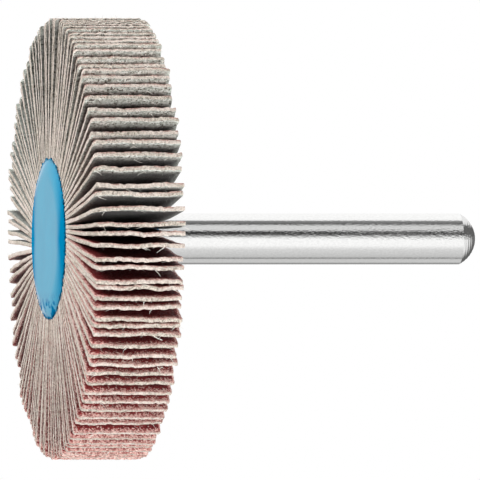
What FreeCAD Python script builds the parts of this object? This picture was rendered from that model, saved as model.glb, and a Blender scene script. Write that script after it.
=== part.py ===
import FreeCAD, Part

import math
import os
import random

# A mounted flap wheel: a fan of abrasive cloth flaps, cast by their roots into a blue resin core
# around a steel shank. It stands on the front of its core, with the shank pointing up along +Z.
# The origin is the middle of that front face, and Z is the wheel's axis. Lengths are in mm and
# angles in degrees.

# The fan
wheel_diameter = 51.6
flap_count = 116
flaps_per_node = 2
flap_width = 10.4
flap_thickness = 0.42

# How the roots sit in the core: the resin left between two roots, and how deep a root is held
root_gap = 0.045
root_depth = 0.8

# How a flap lies: straight in the resin and just outside it, then bent back. Its tip lags behind
# its root by an angle that comes and goes around the wheel, and the bend follows the lag. Each tip
# also wanders by a share of the free gap beside it
straight_outside = 0.3
lag_angle = 2.6
lag_angle_swing = 2.4
lag_swings_per_turn = 4
lag_swing_start_angle = 20.0
bend_per_lag = 0.33
wander_share = 0.36
width_wander = 0.2
length_wander = 0.15

# The steel shank, its domed end, and the stretch that the resin holds: turned down to leave a
# shoulder that bears on the resin, and milled with two flats that the resin grips
shank_diameter = 6.0
shank_reach = 40.15
dome_height = 1.9
shoulder_depth = 0.2
grip_flat_depth = 0.4
grip_flat_length = 5.0
grip_flat_start = 2.0

# The resin core: its front button, the resin ahead of the shank, and the collar at the back
button_rise = 0.82
button_edge_width = 2.4
button_edge_drop = 0.45
button_floor = 1.6
collar_rise = 0.4
meniscus_width = 1.0
meniscus_height = 0.7

# Places worked out from the sizes above
wheel_radius = wheel_diameter / 2
root_radius = flap_count * (flap_thickness + root_gap) / (2 * math.pi)
core_radius = root_radius + root_depth
tip_gap = 2 * math.pi * wheel_radius / flap_count - flap_thickness
flaps_front = button_rise
flaps_back = flaps_front + flap_width
collar_back = flaps_back + collar_rise
resin_back = collar_back + meniscus_height
shank_radius = shank_diameter / 2
held_radius = shank_radius - shoulder_depth
shank_top = flaps_back + shank_reach

chance = random.Random(31)


def polar(radius, angle):
    """Point in the wheel's plane at a radius and an angle about the axis."""
    turn = math.radians(angle)
    return FreeCAD.Vector(radius * math.cos(turn), radius * math.sin(turn), 0)


def profile_point(radius, height):
    return FreeCAD.Vector(radius, 0, height)


def line(start, end):
    return Part.LineSegment(start, end).toShape()


def arc_rise(chord_length, half_turn):
    """How far an arc stands off its chord, where it turns by twice half_turn."""
    return chord_length / 2 * math.tan(math.radians(half_turn) / 2)


def turned(edges):
    """Solid of revolution about Z from a closed profile in the XZ plane."""
    face = Part.Face(Part.Wire(edges))
    return face.revolve(FreeCAD.Vector(0, 0, 0), FreeCAD.Vector(0, 0, 1), 360)


def square_to(way):
    """Unit vector in the wheel's plane, square to a way in it."""
    return FreeCAD.Vector(-way.y, way.x, 0).normalize()


def turned_by(way, angle):
    return FreeCAD.Rotation(FreeCAD.Vector(0, 0, 1), angle).multVec(way)


def angle_between(first, second):
    """Angle from one way to another in the wheel's plane, with its sign."""
    return math.degrees(math.atan2(first.x * second.y - first.y * second.x, first.dot(second)))


def flap_ends(index):
    """Where the middle of a flap's thickness starts and ends, and how far it is bent."""
    root_angle = index * 360 / flap_count
    swing = math.cos(math.radians(lag_swings_per_turn * root_angle + lag_swing_start_angle))
    lag = lag_angle + lag_angle_swing * swing
    wander = polar(tip_gap * chance.uniform(-wander_share, wander_share), root_angle + 90)
    tip_radius = wheel_radius - chance.uniform(0, length_wander)
    root = polar(root_radius, root_angle)
    tip = polar(tip_radius, root_angle + lag) + wander
    return root, tip, lag * bend_per_lag


def flank(root, tip, bend, offset):
    """One side of a flap: straight from the root, then an arc that leaves the straight smoothly."""
    start_way = turned_by(tip - root, bend).normalize()
    knee = root + start_way * (root_depth + straight_outside)
    chord = tip - knee
    half_turn = angle_between(chord, start_way)
    crown = (knee + tip) * 0.5 + square_to(chord) * arc_rise(chord.Length, half_turn)
    at_start = square_to(start_way) * offset
    at_crown = square_to(chord) * offset
    at_tip = square_to(turned_by(chord, -half_turn)) * offset
    arc = Part.Arc(knee + at_start, crown + at_crown, tip + at_tip)
    return [line(root + at_start, knee + at_start), arc.toShape()]


def flap(index):
    """A strip of abrasive cloth on edge, cut square at its root and its tip."""
    root, tip, bend = flap_ends(index)
    grit_side = flank(root, tip, bend, -flap_thickness / 2)
    cloth_side = flank(root, tip, bend, flap_thickness / 2)
    tip_end = line(grit_side[-1].lastVertex().Point, cloth_side[-1].lastVertex().Point)
    root_end = line(cloth_side[0].firstVertex().Point, grit_side[0].firstVertex().Point)
    outline = Part.Face(Part.Wire(grit_side + [tip_end] + cloth_side[::-1] + [root_end]))
    front = flaps_front + chance.uniform(-width_wander, width_wander)
    outline.translate(FreeCAD.Vector(0, 0, front))
    return outline.extrude(FreeCAD.Vector(0, 0, flap_width))


def shank():
    """The turned shank: domed at its free end, with a shoulder where it enters the resin."""
    axis_start = profile_point(0, button_floor)
    held_start = profile_point(held_radius, button_floor)
    held_end = profile_point(held_radius, resin_back)
    shoulder = profile_point(shank_radius, resin_back)
    dome_start = profile_point(shank_radius, shank_top - dome_height)
    dome_top = profile_point(0, shank_top)
    dome_radius = (shank_radius ** 2 + dome_height ** 2) / (2 * dome_height)
    half_cap = math.atan2(dome_height, shank_radius)
    dome_middle = profile_point(dome_radius * math.sin(half_cap),
                                shank_top - dome_radius * (1 - math.cos(half_cap)))
    dome = Part.Arc(dome_start, dome_middle, dome_top).toShape()
    body = turned([line(axis_start, held_start), line(held_start, held_end),
                   line(held_end, shoulder), line(shoulder, dome_start), dome,
                   line(dome_top, axis_start)])
    return body.cut([grip_flat(side) for side in (-1, 1)])


def grip_flat(side):
    """Metal milled away to leave a flat on one side of the held end, closed at both its ends."""
    corner = FreeCAD.Vector(-held_radius, -grip_flat_depth / 2, button_floor + grip_flat_start)
    block = Part.makeBox(2 * held_radius, grip_flat_depth, grip_flat_length, corner)
    block.translate(FreeCAD.Vector(0, side * (held_radius - grip_flat_depth / 2), 0))
    return block


def resin_core(shank_solid, flap_solids):
    """The cast core: front button, barrel and rear collar, moulded round the shank and the roots."""
    front = profile_point(0, 0)
    button_flat = profile_point(core_radius - button_edge_width, 0)
    button_rim = profile_point(core_radius, button_edge_drop)
    collar_rim = profile_point(core_radius, collar_back)
    meniscus_foot = profile_point(shank_radius + meniscus_width, collar_back)
    meniscus_top = profile_point(shank_radius, resin_back)
    axis_back = profile_point(0, resin_back)
    body = turned([line(front, button_flat), button_edge(button_flat, button_rim),
                   line(button_rim, collar_rim), line(collar_rim, meniscus_foot),
                   line(meniscus_foot, meniscus_top), line(meniscus_top, axis_back),
                   line(axis_back, front)])
    return body.cut([shank_solid] + flap_solids)


def button_edge(flat, rim):
    """Rounded edge of the button: an arc that leaves its flat front smoothly."""
    chord = rim - flat
    outward = FreeCAD.Vector(chord.z, 0, -chord.x).normalize()
    half_turn = math.degrees(math.atan2(chord.z, chord.x))
    crown = (flat + rim) * 0.5 + outward * arc_rise(chord.Length, half_turn)
    return Part.Arc(flat, crown, rim).toShape()


def save(name, shape):
    shape.exportStep("parts/" + name + ".step")


def build():
    os.makedirs("parts", exist_ok=True)
    flaps = [flap(index) for index in range(flap_count)]
    steel = shank()
    save("shank", steel)
    save("resin_core", resin_core(steel, flaps))
    for first in range(0, flap_count, flaps_per_node):
        group = flaps[first:first + flaps_per_node]
        save("flaps_%02d" % (first // flaps_per_node + 1), Part.makeCompound(group))


build()
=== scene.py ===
import math

import bmesh
import bpy
import numpy as np
from mathutils import Matrix, Vector


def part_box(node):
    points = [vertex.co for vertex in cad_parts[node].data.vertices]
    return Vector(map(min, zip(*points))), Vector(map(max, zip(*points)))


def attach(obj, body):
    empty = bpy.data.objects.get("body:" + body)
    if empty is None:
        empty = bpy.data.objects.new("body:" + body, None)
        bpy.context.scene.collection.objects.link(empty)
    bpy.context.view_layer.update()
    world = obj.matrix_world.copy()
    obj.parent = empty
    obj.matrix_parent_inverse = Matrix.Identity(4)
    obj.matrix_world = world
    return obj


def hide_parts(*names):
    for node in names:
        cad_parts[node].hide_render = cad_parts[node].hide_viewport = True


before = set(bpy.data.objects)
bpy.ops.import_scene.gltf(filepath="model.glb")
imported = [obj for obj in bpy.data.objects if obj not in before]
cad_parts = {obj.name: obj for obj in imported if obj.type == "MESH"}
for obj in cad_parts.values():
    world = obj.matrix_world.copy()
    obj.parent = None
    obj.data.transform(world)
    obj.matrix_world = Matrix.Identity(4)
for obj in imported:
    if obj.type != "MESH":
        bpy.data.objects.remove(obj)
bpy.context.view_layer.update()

# A mounted flap wheel: 116 flaps of abrasive cloth, a blue resin core and a steel shank.
# Places come from the frame. Sizes are in mm and angles in degrees, except where a comment says
# otherwise.
MM = 0.001
BODY = "root"
SEED = 7
flaps_per_node = 2

# The grid of a flap: rows from its root to its tip, columns from its front cut to its back cut, and
# layers from its cloth side to its grit side. They are closer together near the tip and the cuts
first_row = 0.85
inner_rows = 12
inner_rows_end = 3.6
tip_rows = 13
tip_rows_start = 3.3
edge_columns = (0.0, 0.1, 0.25, 0.45, 0.7)
middle_columns = 39
middle_columns_start = 1.0
layers = 4

# A flap's outline: the least and the greatest radius of its outer corners, how far in from the tip
# they are felt, and how far its cuts waver over what length
front_corner_radius = (0.15, 0.6)
back_corner_radius = (0.05, 0.3)
corner_fade = 2.4
tip_waver = 0.03
tip_waver_length = 0.9
cut_waver = 0.02
cut_waver_length = 1.6

# The front cuts run straight from the height of the button's rim to their own places at the tips,
# and keep a share of their own places at the rim
root_front = 0.5
root_front_share = 0.85

# How a flap's sheet lies: it swells outside its root, its tip is frilled and flared, and its
# surfaces and edges are rough
swell_height = 0.08
swell_length = 6.0
swell_start = 1.5
swell_power = 1.5
frill_height = 0.032
frill_lengths = (2.4, 0.9)
frill_depth = 1.4
tip_flare = 0.03
tip_flare_length = 0.7
nap_height = 0.012
grain_height = 0.02
edge_bulge = 0.03
tip_fray = 0.02
cut_fray = 0.012

# Fine loose fibres: how many each flap has on its tip, its front and back cuts and its cloth, how
# far from the root they start, how far short of the tip they end, and how far in from a cut or the
# tip they stand
tip_fibres = 16
front_fibres = 14
back_fibres = 5
cloth_fibres = 7
front_fibres_start = 2.0
back_fibres_start = 5.0
cloth_fibres_start = 9.0
cut_fibres_end = 0.6
cloth_fibres_end = 0.3
tip_fibre_inset = 0.12
cut_fibre_inset = 0.05
fibre_margin = 0.5
fibre_width = (0.02, 0.05)
fibre_length = (0.15, 0.75)

# Thicker loose threads on the cloth near the tip
wisp_count = 4
wisp_width = (0.07, 0.13)
wisp_length = (0.5, 1.2)
wisp_depth = 1.1
wisp_rings = 6

# The resin: the button's flat and its rounded edge, the skirt and the teeth of resin that creep
# along the flaps, and the small cone round the shank. A flap stands up to flap_wander behind the
# common back of the flaps
button_radii = (0.05, 2.0, 4.0, 5.5, 6.4)
button_flat_radius = 6.985
rim_start = 9.15
rim_drop = 0.42
skirt_depth = 1.0
skirt_reach = 0.13
tooth_reach = 0.42
flap_wander = 0.2
meniscus_radius = 4.0
meniscus_height = 0.7
steps_per_flap = 10

# The shank: its shoulder, its plain stretch, and the tool rings on its domed end
shoulder_depth = 0.2
shoulder_height = 12.32
plain_start = 12.6
plain_rings = 41
dome_height = 1.9
dome_rings = 44
dome_sharp_angle = 20.0
shank_steps = 192
ring_depth = 0.02
ring_pitch = 0.34

# The camera: how far the view is off side-on, towards the wheel's front, how wide it is, and where
# its middle lies along the axis and beside it. The distance is in metres. It is short enough for
# the views from other sides, which take over the lens, to reach the object
view_tilt = 12.23
view_distance = 2.5
view_width = 56.09
view_middle = 23.30
view_offset = 0.14
sensor_width = 36.0

# What polished steel sees of the studio, round the shank's axis: degrees from the camera's side
# towards the image's lower edge, and how bright it is there
studio_bands = [
    (-180, 1.00), (-98, 1.00), (-92, 0.85), (-87, 0.24), (-70, 0.10), (-65, 0.66),
    (-37, 0.72), (-34, 0.03), (-20, 0.06), (-8, 0.62), (-2, 1.00), (30, 1.00),
    (50, 0.70), (92, 0.54), (95, 0.30), (102, 0.30), (105, 0.60), (134, 0.60),
    (142, 0.30), (170, 0.30), (176, 1.00), (180, 1.00),
]

# Brightness of what the button and the domed end mirror, and of the even light: all round, and
# towards the image's top and bottom
front_gloss = 0.56
dome_light = 0.85
dome_dark = 0.12
fill_level = 0.12
fill_overhead = 0.4

# The soft lamps, in metres and watts: the point they look at, and each lamp's place, width and
# power. The image's top is at -X, the camera at -Y, and -Z is ahead of the wheel's face
lamp_aim = (0, 0, 0.01)
lamps = [
    ("face", (-0.85, 0.3, -1.1), 0.5, 30.0),
    ("key", (-1.12, -0.7, 0.1), 0.5, 5.0),
    ("front", (0.21, -1.22, 0.4), 0.4, 12.0),
    ("low", (1.12, -0.74, 0.0), 0.5, 15.0),
    ("back", (-0.4, 0.3, 1.2), 0.8, 5.0),
    ("rear", (0.3, 1.2, 0.5), 0.8, 5.0),
]

# The floor: its reach each way in metres, and how far under the button it lies in mm
floor_reach = 4.0
floor_gap = 0.05


def ripple(chance, places, wavelength, waves=5):
    """Smooth random ups and downs along one way, mostly within -1 to 1."""
    total = np.zeros_like(places)
    for _ in range(waves):
        length = wavelength * chance.uniform(0.6, 1.7)
        total += np.sin(2 * math.pi * places / length + chance.uniform(0, 2 * math.pi))
    return total / math.sqrt(waves)


def swell(chance, first, second, wavelength, waves=6):
    """The same over a surface."""
    total = np.zeros_like(first)
    for _ in range(waves):
        heading = chance.uniform(0, 2 * math.pi)
        places = first * math.cos(heading) + second * math.sin(heading)
        length = wavelength * chance.uniform(0.6, 1.7)
        total += np.sin(2 * math.pi * places / length + chance.uniform(0, 2 * math.pi))
    return total / math.sqrt(waves)


def ease(share):
    """Smooth step from 0 to 1."""
    share = np.clip(share, 0, 1)
    return share * share * (3 - 2 * share)


def solids_of(mesh):
    """Points of each separate solid of a frame mesh, in mm."""
    body = bmesh.new()
    body.from_mesh(mesh)
    bmesh.ops.remove_doubles(body, verts=body.verts, dist=1e-6)
    body.verts.index_update()
    seen = set()
    solids = []
    for first in body.verts:
        if first.index in seen:
            continue
        seen.add(first.index)
        waiting = [first]
        points = []
        while waiting:
            vert = waiting.pop()
            points.append(vert.co / MM)
            for edge in vert.link_edges:
                other = edge.other_vert(vert)
                if other.index not in seen:
                    seen.add(other.index)
                    waiting.append(other)
        solids.append(np.array(points))
    body.free()
    return solids


class Strip:
    """Where one flap lies: its middle line in the wheel's plane, its thickness, front and back."""

    def __init__(self, points):
        self.front = points[:, 2].min()
        self.back = points[:, 2].max()
        flat = points[points[:, 2] < (self.front + self.back) / 2][:, :2]
        flat = flat[np.argsort(np.hypot(flat[:, 0], flat[:, 1]))]
        self.root = flat[:2].mean(axis=0)
        chord = flat[-2:].mean(axis=0) - self.root
        self.length = np.hypot(*chord)
        self.way = chord / self.length
        self.square = np.array([-self.way[1], self.way[0]])
        along = (flat - self.root) @ self.way / self.length
        offset = (flat - self.root) @ self.square
        table = np.stack([along ** 0, along, along ** 2, along ** 3, np.sign(offset)], axis=1)
        answer = np.linalg.lstsq(table, offset, rcond=None)[0]
        self.line = answer[:4]
        self.half = answer[4]

    def middle(self, along):
        share = along / self.length
        return sum(factor * share ** power for power, factor in enumerate(self.line))

    def place(self, along, offset, height):
        """Points in mm from distances along and across the flap, and heights along the axis."""
        flat = self.root + along[..., None] * self.way + offset[..., None] * self.square
        return np.concatenate([flat, height[..., None]], axis=-1)

    def point(self, along, offset, rise):
        """One point in mm, rise behind the flap's front."""
        flat = self.root + along * self.way + offset * self.square
        return np.array([*flat, self.front + rise])

    def ways(self):
        """Ways along the flap, off its cloth side and along the wheel's axis."""
        return np.array([*self.way, 0.0]), np.array([*self.square, 0.0]), np.array([0.0, 0.0, 1.0])


def row_places(length):
    """Rows from the root to the tip, closer together near the tip."""
    inner = np.linspace(first_row, length - inner_rows_end, inner_rows)
    return np.concatenate([[0.0], inner, np.linspace(length - tip_rows_start, length, tip_rows)])


def column_places(width):
    """Columns from the front cut to the back cut, closer together near both."""
    near = np.array(edge_columns)
    middle = np.linspace(middle_columns_start, width - middle_columns_start, middle_columns)
    return np.concatenate([near, middle, width - near[::-1]])


def tip_outline(columns, width, chance):
    """How far each column ends short of the tip: rounded corners, and a cut that wavers."""
    tip = np.zeros(len(columns))
    for limits, gap in ((front_corner_radius, columns), (back_corner_radius, width - columns)):
        radius = chance.uniform(*limits)
        inside = np.clip(radius - gap, 0, radius)
        tip -= radius - np.sqrt(radius ** 2 - inside ** 2)
    tip += tip_waver * ripple(chance, columns, tip_waver_length) - tip_waver
    return tip


def sheet_sides(strip, along, height, columns, chance):
    """How far the cloth side and the grit side stand off the line from root to tip."""
    free = np.clip((along - swell_start) / (strip.length - swell_start), 0, 1) ** swell_power
    end = ease((along - strip.length + frill_depth) / frill_depth)
    middle = strip.middle(along) + swell_height * free * swell(chance, along, height, swell_length)
    long_frill, short_frill = (ripple(chance, columns, length) for length in frill_lengths)
    middle = middle + frill_height * end * (long_frill + short_frill)
    flare = tip_flare * end * (1 + 0.5 * ripple(chance, columns, tip_flare_length))
    cloth = middle + strip.half + flare + nap_height * chance.normal(size=along.shape)
    grains = grain_height * np.abs(chance.normal(size=along.shape))
    return cloth, middle - strip.half - 0.5 * flare - grains


def flap_mesh(strip, chance):
    """Points, faces, kinds and marks of one flap."""
    width = strip.back - strip.front
    rows = row_places(strip.length)
    columns = column_places(width)
    spot = chance.uniform(0, 400)
    along, share = np.meshgrid(rows, columns / width, indexing="ij")
    tip = tip_outline(columns, width, chance)
    front = strip.front + cut_waver * ripple(chance, rows, cut_waver_length)
    front += (root_front - front) * root_front_share * (1 - rows / strip.length)
    back = strip.back + cut_waver * ripple(chance, rows, cut_waver_length)
    height = front[:, None] + (back - front)[:, None] * share
    along = along + tip * ease((along - strip.length + corner_fade) / corner_fade)
    cloth, grit = sheet_sides(strip, along, height, columns, chance)

    tip_depth = strip.length - along
    side_depth = np.minimum(height - strip.front, strip.back - height)
    sheets = []
    for layer in range(layers):
        part = layer / (layers - 1)
        bulge = edge_bulge * math.sin(math.pi * part)
        offset = cloth + (grit - cloth) * part
        reach = along.copy()
        reach[-1] += bulge + tip_fray * chance.normal(size=len(columns)) - edge_bulge
        rise = height.copy()
        rise[:, 0] += edge_bulge - bulge + cut_fray * chance.normal(size=len(rows))
        rise[:, -1] -= edge_bulge - bulge + cut_fray * chance.normal(size=len(rows))
        points = strip.place(reach, offset, rise)
        texture = np.stack([along, height, np.full_like(along, spot + 0.4 * part)], axis=-1)
        zone = np.stack([np.full_like(along, part), tip_depth, side_depth], axis=-1)
        sheets.append((points, texture, zone))
    return stitch(sheets, len(rows), len(columns))


def stitch(sheets, rows, columns):
    """One closed skin from the outer sheets and, round the cuts, the layers between them."""
    number = -np.ones((layers, rows, columns), int)
    points, texture, zone = [], [], []
    for layer in range(layers):
        for row in range(rows):
            for column in range(columns):
                inner = 0 < layer < layers - 1
                if inner and 0 < row < rows - 1 and 0 < column < columns - 1:
                    continue
                number[layer, row, column] = len(points)
                points.append(sheets[layer][0][row, column])
                texture.append(sheets[layer][1][row, column])
                zone.append(sheets[layer][2][row, column])
    faces, kinds = [], []

    def cover(block, kind, flip):
        """Quads over a grid of point numbers."""
        for first in range(block.shape[0] - 1):
            for second in range(block.shape[1] - 1):
                quad = [block[first, second], block[first, second + 1],
                        block[first + 1, second + 1], block[first + 1, second]]
                faces.append([int(corner) for corner in (quad[::-1] if flip else quad)])
                kinds.append(kind)

    cover(number[0], 0, False)
    cover(number[-1], 1, True)
    cover(number[:, :, 0].T, 2, True)
    cover(number[:, :, -1].T, 2, False)
    cover(number[:, 0, :], 2, False)
    cover(number[:, -1, :], 2, True)
    return points, faces, kinds, texture, zone


def fibre(start, lean, bend, length, width, rings=3):
    """A thin tapered thread with three sides, rooted at start."""
    side = np.cross(lean, bend)
    side /= np.linalg.norm(side)
    points = []
    for ring in range(rings):
        share = ring / rings
        centre = start + lean * length * share + bend * length * share ** 2
        for corner in range(3):
            turn = 2 * math.pi * corner / 3
            radius = width / 2 * (1 - 0.6 * share)
            points.append(centre + radius * (math.cos(turn) * side + math.sin(turn) * bend))
    points.append(start + lean * length + bend * length)
    faces = [[2, 1, 0]]
    for ring in range(rings - 1):
        for corner in range(3):
            low, next_low = 3 * ring + corner, 3 * ring + (corner + 1) % 3
            faces.append([low, next_low, next_low + 3, low + 3])
    last = 3 * rings - 3
    for corner in range(3):
        faces.append([last + corner, last + (corner + 1) % 3, last + 3])
    return points, faces


def fibre_spots(strip, chance):
    """Where fibres stand: how far along the flap and behind its front, and on which side."""
    width = strip.back - strip.front
    length = strip.length
    spots = []
    for _ in range(tip_fibres):
        rise = chance.uniform(fibre_margin, width - fibre_margin)
        spots.append((length - tip_fibre_inset, rise, "tip"))
    for _ in range(front_fibres):
        along = chance.uniform(front_fibres_start, length - cut_fibres_end)
        spots.append((along, cut_fibre_inset, "front"))
    for _ in range(back_fibres):
        along = chance.uniform(back_fibres_start, length - cut_fibres_end)
        spots.append((along, width - cut_fibre_inset, "back"))
    for _ in range(cloth_fibres):
        along = chance.uniform(cloth_fibres_start, length - cloth_fibres_end)
        rise = chance.uniform(fibre_margin, width - fibre_margin)
        spots.append((along, rise, "cloth"))
    return spots


def fibres(strip, chance):
    """The fine fibres of one flap, each with its place along the flap."""
    way, square, axis = strip.ways()
    outward = {"tip": way, "front": -axis, "back": axis, "cloth": square}
    for along, rise, side in fibre_spots(strip, chance):
        offset = strip.middle(along) + strip.half * chance.uniform(-0.1, 0.8)
        if side == "cloth":
            offset = strip.middle(along) + strip.half
        start = strip.point(along, offset, rise)
        lean = outward[side] * chance.uniform(0.4, 1.0) + chance.normal(0, 0.5, 3)
        bend = chance.normal(0, 0.35, 3)
        bend -= lean * (bend @ lean) / (lean @ lean)
        length = chance.uniform(*fibre_length) * (0.5 if side == "cloth" else 0.8)
        lean /= np.linalg.norm(lean)
        yield fibre(start, lean, bend, length, chance.uniform(*fibre_width)), along


def wisps(strip, chance):
    """The thicker threads of one flap, each with its place along the flap."""
    way, square, axis = strip.ways()
    width = strip.back - strip.front
    for _ in range(wisp_count):
        along = strip.length - chance.uniform(0.0, wisp_depth)
        offset = strip.middle(along) + strip.half + tip_flare
        start = strip.point(along, offset, chance.uniform(0.4, width - 0.4))
        lean = axis * chance.choice([-1, 1]) + 0.3 * square + chance.normal(0, 0.3, 3)
        lean /= np.linalg.norm(lean)
        bend = way * chance.uniform(-0.7, 0.9) + 0.1 * square
        bend -= lean * (bend @ lean)
        length = chance.uniform(*wisp_length)
        yield fibre(start, lean, bend, length, chance.uniform(*wisp_width), wisp_rings), along


def new_piece(name, points, faces, materials, kinds=None, marks=None, sharp=40.0):
    """A mesh object in the frame, riding on the part's body. Points are in mm."""
    mesh = bpy.data.meshes.new(name)
    mesh.from_pydata((np.array(points) * MM).tolist(), [], faces)
    for material in materials:
        mesh.materials.append(material)
    if kinds is not None:
        mesh.polygons.foreach_set("material_index", kinds)
    for mark, values in (marks or {}).items():
        attribute = mesh.attributes.new(mark, "FLOAT_VECTOR", "POINT")
        attribute.data.foreach_set("vector", np.array(values, np.float32).ravel())
    mesh.polygons.foreach_set("use_smooth", [True] * len(faces))
    mesh.set_sharp_from_angle(angle=math.radians(sharp))
    mesh.update()
    piece = bpy.data.objects.new(name, mesh)
    bpy.context.scene.collection.objects.link(piece)
    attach(piece, BODY)
    return piece


class Nodes:
    """Short words for building a node material."""

    def __init__(self, tree):
        self.tree = tree

    def add(self, kind, **settings):
        node = self.tree.nodes.new(kind)
        for name, value in settings.items():
            setattr(node, name, value)
        return node

    def put(self, value, socket):
        """A link where value is a socket, or else a plain number or colour."""
        if isinstance(value, bpy.types.NodeSocket):
            self.tree.links.new(value, socket)
        else:
            socket.default_value = value

    def math(self, operation, first, second=0.0, third=None):
        node = self.add("ShaderNodeMath", operation=operation)
        self.put(first, node.inputs[0])
        self.put(second, node.inputs[1])
        if third is not None:
            self.put(third, node.inputs[2])
        return node.outputs[0]

    def span(self, value, low, high, start=0.0, end=1.0):
        """value from low..high to start..end, smoothly."""
        node = self.add("ShaderNodeMapRange", interpolation_type="SMOOTHSTEP")
        for socket, given in zip(node.inputs, (value, low, high, start, end)):
            self.put(given, socket)
        return node.outputs[0]

    def noise(self, vector, scale, detail=3.0, roughness=0.6):
        node = self.add("ShaderNodeTexNoise")
        self.put(vector, node.inputs["Vector"])
        node.inputs["Scale"].default_value = scale
        node.inputs["Detail"].default_value = detail
        node.inputs["Roughness"].default_value = roughness
        return node.outputs["Fac"]

    def stretch(self, vector, scale):
        node = self.add("ShaderNodeMapping")
        self.put(vector, node.inputs["Vector"])
        node.inputs["Scale"].default_value = scale
        return node.outputs[0]

    def mix(self, share, first, second):
        node = self.add("ShaderNodeMix", data_type="RGBA")
        self.put(share, node.inputs[0])
        self.put(first, node.inputs[6])
        self.put(second, node.inputs[7])
        return node.outputs[2]

    def bump(self, height, strength, distance):
        """Small relief. The distance is in metres."""
        node = self.add("ShaderNodeBump")
        self.put(height, node.inputs["Height"])
        node.inputs["Strength"].default_value = strength
        node.inputs["Distance"].default_value = distance
        return node.outputs[0]

    def mark(self, name):
        return self.add("ShaderNodeAttribute", attribute_name=name).outputs["Vector"]

    def split(self, vector):
        node = self.add("ShaderNodeSeparateXYZ")
        self.put(vector, node.inputs[0])
        return node.outputs


def colour(red, green, blue):
    """A colour as it looks on screen, 0 to 255, turned into the shader's own scale."""
    shares = [value / 255 for value in (red, green, blue)]
    return [share / 12.92 if share <= 0.04045 else ((share + 0.055) / 1.055) ** 2.4
            for share in shares] + [1.0]


def new_material(name):
    material = bpy.data.materials.new(name)
    material.use_nodes = True
    nodes = Nodes(material.node_tree)
    shader = material.node_tree.nodes["Principled BSDF"]
    return material, nodes, shader


def cloth_material():
    """The woven backing: pale grey threads both ways, with nap and darker dots between them."""
    material, nodes, shader = new_material("cloth_backing")
    strip = nodes.mark("strip")
    _, tip_depth, side_depth = nodes.split(nodes.mark("zone"))
    warp = nodes.noise(nodes.stretch(strip, (1.5, 4.6, 1.0)), 1.0, 2.0)
    weft = nodes.noise(nodes.stretch(strip, (4.6, 1.5, 1.0)), 1.0, 2.0)
    nap = nodes.noise(strip, 3.8, 4.0, 0.75)
    dots = nodes.span(nodes.noise(strip, 3.0, 2.0), 0.38, 0.44)
    weave = nodes.math("ADD", nodes.math("MULTIPLY", warp, 0.35), nodes.math("MULTIPLY", weft, 0.65))
    level = nodes.math("ADD", nodes.math("MULTIPLY", weave, 0.6), nodes.math("MULTIPLY", nap, 0.4))
    body = nodes.mix(nodes.span(level, 0.43, 0.57), colour(168, 177, 166), colour(248, 254, 246))
    body = nodes.mix(dots, colour(104, 102, 92), body)
    tint = nodes.noise(strip, 0.5, 1.0)
    body = nodes.mix(nodes.span(tint, 0.35, 0.7, 0.0, 0.4), body, colour(194, 201, 192))
    # Painted shade: the cloth turns dark grey deeper in from the tip, where the gaps between flaps
    # are shaded; it stays lighter near the front and back cuts
    unshaded_near_tip = nodes.span(tip_depth, 1.9, 0.3)
    unshaded_near_cut = nodes.span(side_depth, 0.9, 0.0, 0.0, 0.4)
    painted_depth_shade = nodes.math("SUBTRACT", 1.0, nodes.math("MAXIMUM", unshaded_near_tip, unshaded_near_cut))
    body = nodes.mix(nodes.math("MULTIPLY", painted_depth_shade, 0.95), body, colour(50, 50, 45))
    nodes.put(body, shader.inputs["Base Color"])
    shader.inputs["Roughness"].default_value = 0.95
    shader.inputs["Specular IOR Level"].default_value = 0.15
    shader.inputs["Sheen Weight"].default_value = 0.15
    nodes.put(nodes.bump(level, 1.0, 0.0002), shader.inputs["Normal"])
    return material


def thread_material():
    """Loose fibres: off-white, lighter and darker along their length."""
    material, nodes, shader = new_material("loose_fibre")
    level = nodes.noise(nodes.mark("strip"), 2.0, 2.0)
    body = nodes.mix(nodes.span(level, 0.3, 0.7), colour(222, 220, 210), colour(250, 249, 243))
    nodes.put(body, shader.inputs["Base Color"])
    shader.inputs["Roughness"].default_value = 0.9
    shader.inputs["Specular IOR Level"].default_value = 0.15
    return material


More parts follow.
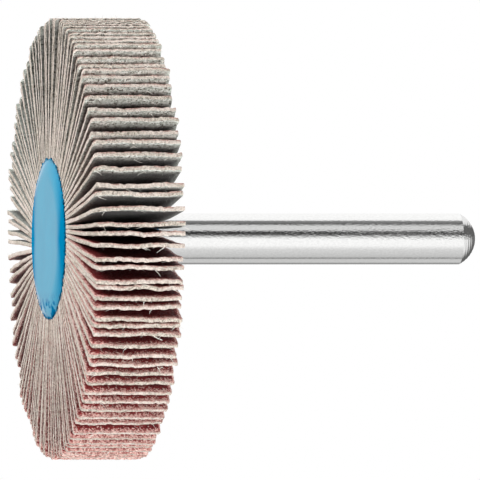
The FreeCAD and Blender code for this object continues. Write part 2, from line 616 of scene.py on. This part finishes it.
def grit_material():
    """Red-brown abrasive grains in resin. Pale grains get more common towards the edges."""
    material, nodes, shader = new_material("abrasive_grit")
    strip = nodes.mark("strip")
    _, tip_depth, side_depth = nodes.split(nodes.mark("zone"))
    depth = nodes.math("MINIMUM", tip_depth, nodes.math("MULTIPLY", side_depth, 2.0))
    grains = nodes.add("ShaderNodeTexVoronoi", feature="F1")
    nodes.put(strip, grains.inputs["Vector"])
    grains.inputs["Scale"].default_value = 6.2
    lot, shade, _ = nodes.split(grains.outputs["Color"])
    patch = nodes.math("MULTIPLY", nodes.math("SUBTRACT", nodes.noise(strip, 1.2), 0.5), 0.3)
    limit = nodes.math("ADD", nodes.span(depth, 0.0, 1.1, 0.25, 0.97), patch)
    pale = nodes.span(nodes.math("SUBTRACT", lot, limit), 0.0, 0.05)
    body = nodes.mix(shade, colour(104, 28, 32), colour(164, 62, 62))
    # Lighter within 0.6 mm of the tip and the cuts
    body = nodes.mix(nodes.span(depth, 0.0, 0.6, 0.5, 0.0), body, colour(216, 162, 152))
    body = nodes.mix(pale, body, nodes.mix(shade, colour(218, 156, 148), colour(252, 218, 208)))
    frayed = nodes.math("MULTIPLY", nodes.span(side_depth, 0.2, 0.0), nodes.span(lot, 0.3, 0.45))
    body = nodes.mix(nodes.math("MULTIPLY", frayed, 0.6), body, colour(236, 210, 202))
    # Painted shade: dark red-brown deeper in from the tip and the cuts, where the gaps between flaps
    # are shaded
    body = nodes.mix(nodes.span(depth, 0.35, 1.4, 0.0, 0.66), body, colour(58, 20, 22))
    nodes.put(body, shader.inputs["Base Color"])
    nodes.put(nodes.span(lot, 0.0, 1.0, 0.35, 0.75), shader.inputs["Roughness"])
    shader.inputs["Specular IOR Level"].default_value = 0.3
    shape = nodes.math("SUBTRACT", 1.0, grains.outputs["Distance"])
    nodes.put(nodes.bump(shape, 1.0, 0.00012), shader.inputs["Normal"])
    return material


def cut_material():
    """The cut edge: frayed grey-cream cloth, with a broken line of grit along one side."""
    material, nodes, shader = new_material("cut_edge")
    strip = nodes.mark("strip")
    layer, tip_depth, _ = nodes.split(nodes.mark("zone"))
    fuzz = nodes.noise(strip, 4.5, 4.0, 0.75)
    dots = nodes.span(nodes.noise(strip, 3.3, 2.0), 0.38, 0.44)
    cream = nodes.mix(nodes.span(fuzz, 0.38, 0.6), colour(152, 144, 133), colour(208, 198, 186))
    cream = nodes.mix(dots, colour(134, 124, 114), cream)
    tint = nodes.span(nodes.noise(strip, 0.15, 1.0), 0.4, 0.6, 0.0, 0.3)
    cream = nodes.mix(tint, cream, colour(230, 214, 208))
    specks = nodes.noise(strip, 6.0, 2.0, 0.7)
    grit = nodes.mix(nodes.span(specks, 0.42, 0.54), colour(124, 92, 86), colour(192, 164, 154))
    patch = nodes.span(nodes.noise(strip, 0.8, 2.0), 0.38, 0.62, -0.32, 0.12)
    border = nodes.math("ADD", layer, nodes.math("MULTIPLY", nodes.math("SUBTRACT", fuzz, 0.5), 0.9))
    inside = nodes.span(tip_depth, 0.3, 0.9, 0.0, 0.2)
    border = nodes.math("SUBTRACT", nodes.math("ADD", border, patch), inside)
    body = nodes.mix(nodes.span(border, 0.56, 0.9), cream, grit)
    nodes.put(body, shader.inputs["Base Color"])
    shader.inputs["Roughness"].default_value = 0.95
    shader.inputs["Specular IOR Level"].default_value = 0.15
    nodes.put(nodes.bump(fuzz, 0.8, 0.0001), shader.inputs["Normal"])
    return material


def resin_material():
    """Cast blue resin: glossy and a little uneven, deeper blue and duller towards its ragged rim.

    Its places are in metres. The darker blotches lie on the front only, on the side of the image's
    bottom.
    """
    material, nodes, shader = new_material("blue_resin")
    place = nodes.add("ShaderNodeTexCoord").outputs["Object"]
    across, down, along = nodes.split(place)
    radius = nodes.math("SQRT", nodes.math("ADD", nodes.math("MULTIPLY", across, across),
                                           nodes.math("MULTIPLY", down, down)))
    cloud = nodes.noise(place, 180.0, 2.0)
    spots = nodes.noise(place, 2200.0, 3.0, 0.7)
    # Deeper blue and no gloss towards the rim, reaching further in on the side away from the camera
    # and less far at the image's top and bottom; the deeper blue is partly painted shade where the
    # rounded edge stops mirroring the bright studio
    slant = nodes.math("MULTIPLY", nodes.math("ABSOLUTE", across), 0.3)
    far = nodes.math("MULTIPLY", nodes.math("MAXIMUM", down, 0.0), 0.3)
    shifted = nodes.math("ADD", nodes.math("SUBTRACT", radius, slant), far)
    edge = nodes.span(shifted, 0.0056, 0.0083)
    blots = nodes.span(nodes.noise(place, 900.0, 2.0), 0.47, 0.53)
    # Darker, duller blue blotches on the front near the rim, towards the image's bottom
    dark_blotches = nodes.math("MULTIPLY", nodes.span(across, 0.006, 0.0078), blots)
    dark_blotches = nodes.math("MULTIPLY", dark_blotches, nodes.span(along, 0.003, 0.002))
    rim = nodes.span(radius, 0.00885, 0.0095)
    body = nodes.mix(nodes.span(cloud, 0.3, 0.7), colour(0, 142, 177), colour(0, 148, 183))
    body = nodes.mix(nodes.math("MULTIPLY", edge, 0.85), body, colour(0, 112, 158))
    body = nodes.mix(nodes.math("MULTIPLY", dark_blotches, 0.8), body, colour(0, 92, 142))
    # Painted shade: dark blue spots at the rim, where the resin runs in among the flaps' front cuts
    dark = nodes.math("MULTIPLY", rim, nodes.span(spots, 0.44, 0.56))
    body = nodes.mix(nodes.math("MULTIPLY", dark, 0.9), body, colour(6, 46, 78))
    nodes.put(body, shader.inputs["Base Color"])
    nodes.put(nodes.span(rim, 0.0, 1.0, 0.14, 0.5), shader.inputs["Roughness"])
    dull = nodes.math("MAXIMUM", edge, dark_blotches)
    nodes.put(nodes.span(dull, 0.0, 1.0, 0.5, 0.0), shader.inputs["Specular IOR Level"])
    height = nodes.math("ADD", nodes.math("MULTIPLY", cloud, 0.5),
                        nodes.math("MULTIPLY", nodes.math("MULTIPLY", spots, rim), 0.6))
    nodes.put(nodes.bump(height, 0.35, 0.0001), shader.inputs["Normal"])
    return material


def steel_material():
    """Ground and polished steel: slightly wavy, with fine marks round it. Places are in metres."""
    material, nodes, shader = new_material("polished_steel")
    place = nodes.add("ShaderNodeTexCoord").outputs["Object"]
    rings = nodes.noise(nodes.stretch(place, (300.0, 300.0, 9000.0)), 1.0, 2.0)
    waves = nodes.noise(nodes.stretch(place, (5200.0, 5200.0, 3000.0)), 1.0, 2.0, 0.6)
    body = nodes.mix(nodes.span(waves, 0.3, 0.7), colour(244, 244, 243), colour(251, 251, 250))
    nodes.put(body, shader.inputs["Base Color"])
    shader.inputs["Metallic"].default_value = 1.0
    nodes.put(nodes.span(waves, 0.2, 0.8, 0.05, 0.12), shader.inputs["Roughness"])
    across, _, along = nodes.split(place)
    off_middle = nodes.math("ABSOLUTE", nodes.math("ADD", across, 0.0006))
    near_middle = nodes.span(off_middle, 0.0009, 0.0014, 1.0, 0.3)
    worn = nodes.math("MULTIPLY", nodes.span(along, 0.02, 0.046, 0.6, 1.3), near_middle)
    height = nodes.math("MULTIPLY_ADD", waves, worn, nodes.math("MULTIPLY", rings, 0.1))
    nodes.put(nodes.bump(height, 0.5, 0.00005), shader.inputs["Normal"])
    return material


def build_flaps():
    """One piece for each flap node of the frame."""
    materials = [cloth_material(), grit_material(), cut_material(), thread_material()]
    chance = np.random.default_rng(SEED)
    for node in sorted(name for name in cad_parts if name.startswith("flaps_")):
        points, faces, kinds, texture, zone = [], [], [], [], []
        for solid in solids_of(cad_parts[node].data):
            strip = Strip(solid)
            start = len(points)
            skin = flap_mesh(strip, chance)
            points += skin[0]
            faces += [[start + corner for corner in face] for face in skin[1]]
            kinds += skin[2]
            texture += skin[3]
            zone += skin[4]
            for (thread, sides), along in [*fibres(strip, chance), *wisps(strip, chance)]:
                start = len(points)
                points += thread
                faces += [[start + corner for corner in side] for side in sides]
                kinds += [3] * len(sides)
                texture += [[along, point[2], 7.0] for point in thread]
                zone += [[0.0, 0.0, 0.0]] * len(thread)
        piece = new_piece("cloth_" + node, points, faces, materials, kinds,
                          {"strip": texture, "zone": zone})
        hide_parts(node)


def lathe(rings, steps):
    """Closed skin of revolution. A ring is a radius, or one for each step, and a height."""
    turn = np.arange(steps) * 2 * math.pi / steps
    points = []
    for radius, height in rings:
        radii = np.zeros(steps) + radius
        ring = [radii * np.cos(turn), radii * np.sin(turn), np.full(steps, height)]
        points += np.stack(ring, axis=1).tolist()
    faces = []
    for low in range(0, (len(rings) - 1) * steps, steps):
        high = low + steps
        for step in range(steps):
            after = (step + 1) % steps
            faces.append([low + step, low + after, high + after, high + step])
    faces.append(list(range(steps))[::-1])
    faces.append(list(range(len(points) - steps, len(points))))
    return points, faces


def resin_creep(rim_place, chance):
    """How far resin has crept outwards: on the skirt, on the collar and as teeth at the rim."""
    skirt = 0.5 + 0.3 * ripple(chance, rim_place, 1.1) + 0.4 * ripple(chance, rim_place, 0.4)
    collar = 0.5 + 0.5 * ripple(chance, rim_place, 0.9)
    teeth = 0.2 + 0.5 * ripple(chance, rim_place, 0.55) + 0.3 * ripple(chance, rim_place, 2.0)
    return (skirt_reach * np.clip(skirt, 0, 1.4), skirt_reach * np.clip(collar, 0, 1.4),
            tooth_reach * np.clip(teeth, 0, 1))


def button_rings(core_radius, skirt, teeth):
    """Rings from the middle of the button to the foot of its skirt."""
    rings = [(radius, 0.0) for radius in button_radii]
    for share in np.linspace(0, 1, 9):
        radius = button_flat_radius + share * (rim_start - button_flat_radius)
        rings.append((radius, rim_drop * share ** 2))
    for share in (0.03, 0.15, 0.35, 0.6, 0.85, 1.0):
        radius = rim_start + teeth + share * (core_radius + skirt - rim_start - teeth)
        rings.append((radius, rim_drop + share * (skirt_depth - rim_drop)))
    rings.append((core_radius, skirt_depth + 0.3))
    return rings


def collar_rings(core_radius, flaps_back, resin_back, creep):
    """Rings from just ahead of the flaps' back, over the collar, to the shank."""
    collar_back = resin_back - meniscus_height
    rings = [(core_radius, flaps_back - 0.6)]
    for share in (0.0, 0.4, 0.8, 1.0):
        height = flaps_back - 0.3 + share * (collar_back - flaps_back + 0.25)
        rings.append((core_radius + (1 - share) * creep, height))
    rings.append((core_radius - 0.05, collar_back))
    for share in np.linspace(0, 1, 5):
        radius = core_radius - 0.3 - share * (core_radius - meniscus_radius - 0.3)
        rings.append((radius, collar_back))
    for share in np.linspace(0, 1, 5):
        rings.append((meniscus_radius - share, collar_back + meniscus_height * share ** 1.6))
    rings.append((meniscus_radius - 1.15, resin_back - 0.02))
    return rings


def build_resin():
    """The core: a smooth button, a ragged rim where the resin has crept up the flaps, a collar."""
    low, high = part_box("resin_core")
    core_radius = (high.x - low.x) / 2 / MM
    flaps = [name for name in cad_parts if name.startswith("flaps_")]
    flaps_back = max(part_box(name)[1].z for name in flaps) / MM - flap_wander
    steps = flaps_per_node * len(flaps) * steps_per_flap
    rim_place = np.arange(steps) * 2 * math.pi / steps * core_radius
    skirt, collar, teeth = resin_creep(rim_place, np.random.default_rng(SEED + 1))
    rings = button_rings(core_radius, skirt, teeth)
    rings += collar_rings(core_radius, flaps_back, high.z / MM, collar)
    piece = new_piece("resin_casting", *lathe(rings, steps), [resin_material()])
    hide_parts("resin_core")


def domed_end(radius, top):
    """Rings of the domed end, from its crease to its middle, with shallow tool rings."""
    dome_radius = (radius ** 2 + dome_height ** 2) / (2 * dome_height)
    half_cap = math.atan2(radius, dome_radius - dome_height)
    rings = []
    for share in np.linspace(0.985, 0.02, dome_rings):
        angle = half_cap * share
        groove = ring_depth * math.sin(2 * math.pi * share * radius / ring_pitch) * (1 - share ** 6)
        size = dome_radius + groove
        rings.append((size * math.sin(angle), top - dome_radius + size * math.cos(angle)))
    return rings


def build_shank():
    """The turned shank: held end, shoulder, plain stretch and domed end."""
    low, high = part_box("shank")
    radius = (high.x - low.x) / 2 / MM
    bottom, top = low.z / MM, high.z / MM
    held_radius = radius - shoulder_depth
    rings = [(held_radius, bottom), (held_radius, shoulder_height - 0.02), (radius, shoulder_height)]
    rings += [(radius, height) for height in np.linspace(plain_start, top - dome_height, plain_rings)]
    rings += domed_end(radius, top)
    piece = new_piece("steel_shank", *lathe(rings, shank_steps), [steel_material()],
                      sharp=dome_sharp_angle)
    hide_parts("shank")


def grey_level(value):
    return [value, value, value, 1.0]


def banded_studio(nodes, across, down):
    """The studio's bands, as polished steel sees them round the shank."""
    turn = nodes.math("ARCTAN2", across, nodes.math("MULTIPLY", down, -1.0))
    share = nodes.math("MULTIPLY_ADD", turn, 1 / (2 * math.pi), 0.5)
    ramp = nodes.add("ShaderNodeValToRGB")
    nodes.put(share, ramp.inputs[0])
    stops = ramp.color_ramp.elements
    while len(stops) < len(studio_bands):
        stops.new(0.5)
    for stop, (angle, grey) in zip(stops, studio_bands):
        stop.position = angle / 360 + 0.5
        stop.color = grey_level(grey)
    return ramp.outputs[0]


def dome_studio(nodes, across, down, along):
    """What the domed end sees: bright above, dark at the back and in a band across, pale in front."""
    tilt = math.radians(view_tilt)
    raised = nodes.math("MULTIPLY", along, math.sin(tilt))
    turned_back = nodes.math("MULTIPLY_ADD", down, math.cos(tilt), raised)
    facing = nodes.math("SQRT", nodes.math("MULTIPLY", nodes.math("SUBTRACT", 1.0, turned_back), 0.5))
    lean = nodes.math("DIVIDE", across, nodes.math("MULTIPLY", facing, 2.0))
    above = nodes.span(lean, -0.48, -0.56)
    below = nodes.math("MULTIPLY", nodes.span(lean, -0.1, 0.0), nodes.span(facing, 0.4, 0.72))
    bright = nodes.math("MAXIMUM", above, below)
    return nodes.mix(bright, grey_level(dome_dark), grey_level(dome_light))


def build_world():
    """White behind the object, soft even light, and a studio with dark bands for gloss."""
    world = bpy.data.worlds.new("studio")
    bpy.context.scene.world = world
    world.use_nodes = True
    # The even light is found by chance rays, without a map of where the sky is bright
    world.cycles.sampling_method = "NONE"
    nodes = Nodes(world.node_tree)
    across, down, along = nodes.split(nodes.add("ShaderNodeTexCoord").outputs["Generated"])
    bands = banded_studio(nodes, across, down)
    gloss = nodes.mix(nodes.span(along, -0.02, -0.15), bands, grey_level(front_gloss))
    gloss = nodes.mix(nodes.span(along, 0.28, 0.4), gloss, dome_studio(nodes, across, down, along))

    path = nodes.add("ShaderNodeLightPath").outputs
    steep = nodes.span(nodes.math("ABSOLUTE", across), 0.0, 1.0)
    fill = nodes.mix(steep, grey_level(fill_level), grey_level(fill_overhead))
    soft = nodes.mix(path["Is Glossy Ray"], fill, gloss)
    clear = nodes.math("MAXIMUM", path["Is Camera Ray"], path["Is Transmission Ray"])
    seen = nodes.mix(clear, soft, grey_level(1.0))
    background = world.node_tree.nodes["Background"]
    nodes.put(seen, background.inputs["Color"])


def add_lamp(name, place, size, power):
    """A soft square lamp that looks at the wheel and isn't seen itself."""
    lamp = bpy.data.lights.new(name, "AREA")
    lamp.size = size
    lamp.energy = power
    holder = bpy.data.objects.new(name, lamp)
    holder.location = place
    holder.rotation_euler = (Vector(lamp_aim) - Vector(place)).to_track_quat("-Z", "Y").to_euler()
    holder.visible_camera = False
    holder.visible_glossy = False
    bpy.context.scene.collection.objects.link(holder)


def build_floor():
    """A wide pale floor under the object's shadow. It is clear from below, where the photo's view is,
    and sends neither light nor shadow back to the object.
    """
    reach, level = floor_reach, -floor_gap * MM
    mesh = bpy.data.meshes.new("floor")
    mesh.from_pydata([(-reach, -reach, level), (reach, -reach, level), (reach, reach, level),
                      (-reach, reach, level)], [], [(0, 1, 2, 3)])
    floor = bpy.data.objects.new("floor", mesh)
    bpy.context.scene.collection.objects.link(floor)
    material, nodes, shader = new_material("pale_floor")
    place = nodes.add("ShaderNodeTexCoord").outputs["Object"]
    body = nodes.mix(nodes.noise(place, 3.0), colour(236, 236, 236), colour(240, 240, 240))
    nodes.put(body, shader.inputs["Base Color"])
    shader.inputs["Roughness"].default_value = 0.9
    behind = nodes.add("ShaderNodeNewGeometry").outputs["Backfacing"]
    clear = nodes.add("ShaderNodeBsdfTransparent")
    either = nodes.add("ShaderNodeMixShader")
    nodes.put(behind, either.inputs[0])
    nodes.put(shader.outputs[0], either.inputs[1])
    nodes.put(clear.outputs[0], either.inputs[2])
    nodes.put(either.outputs[0], material.node_tree.nodes["Material Output"].inputs["Surface"])
    mesh.materials.append(material)
    floor.visible_diffuse = False
    floor.visible_glossy = False
    floor.visible_transmission = False
    floor.visible_shadow = False


def build_camera():
    """The photograph's view: far away with a long lens, so that it is nearly parallel."""
    tilt = math.radians(view_tilt)
    ahead = Vector((0, math.cos(tilt), math.sin(tilt)))
    right = Vector((0, -math.sin(tilt), math.cos(tilt)))
    up = Vector((-1, 0, 0))
    camera = bpy.data.cameras.new("camera")
    camera.sensor_width = sensor_width
    camera.lens = sensor_width * view_distance / (view_width * MM)
    holder = bpy.data.objects.new("camera", camera)
    place = Vector((view_offset * MM, 0, view_middle * MM)) - ahead * view_distance
    turn = Matrix((right, up, -ahead)).transposed().to_4x4()
    holder.matrix_world = Matrix.Translation(place) @ turn
    bpy.context.scene.collection.objects.link(holder)
    bpy.context.scene.camera = holder


build_flaps()
build_resin()
build_shank()
build_world()
for lamp_settings in lamps:
    add_lamp(*lamp_settings)
build_floor()
build_camera()
bpy.context.scene.view_settings.view_transform = "Standard"
